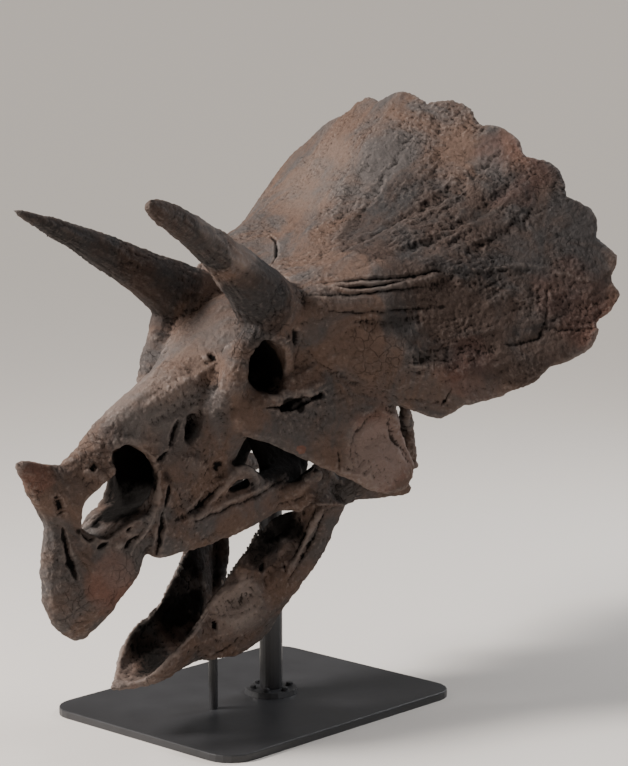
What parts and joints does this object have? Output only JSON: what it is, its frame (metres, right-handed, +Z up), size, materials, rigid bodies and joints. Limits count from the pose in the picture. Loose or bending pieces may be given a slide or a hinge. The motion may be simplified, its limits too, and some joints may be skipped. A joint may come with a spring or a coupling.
{
  "type": "horned dinosaur skull fossil",
  "caption": "Life-size fossil skull of a large horned dinosaur with brow horns, nose horn, beaked open jaws and a wide scalloped frill, on a steel stand",
  "frame": {"origin": "centre of the underside of the stand's base, on the floor", "axes": "+X towards the beak, +Y towards the animal's left, +Z up"},
  "size_m": [1.7244, 1.6669, 1.8818],
  "materials": {
    "bone": "matte, weathered fossil bone",
    "bone_dark": "matte, dark fossil bone",
    "bone_red": "matte, reddish fossil bone",
    "steel": "black satin powder coat"
  },
  "bodies": {
    "root": {"brow_horn_left": "bone_dark", "brow_horn_right": "bone_dark", "nasal_horn": "bone_red", "rostral_beak": "bone_red", "snout": "bone", "cranium": "bone", "frill_parietal": "bone", "squamosal_left": "bone", "squamosal_right": "bone", "jugal_left": "bone_red", "jugal_right": "bone_red", "quadrate_left": "bone_dark", "quadrate_right": "bone_dark", "maxilla_left": "bone", "maxilla_right": "bone", "predentary": "bone_dark", "dentary_left": "bone", "dentary_right": "bone", "stand_base": "steel", "stand_foot": "steel", "stand_post": "steel", "stand_saddle": "steel", "stand_jaw_rod": "steel", "stand_jaw_cup": "steel"}
  },
  "joints": []
}
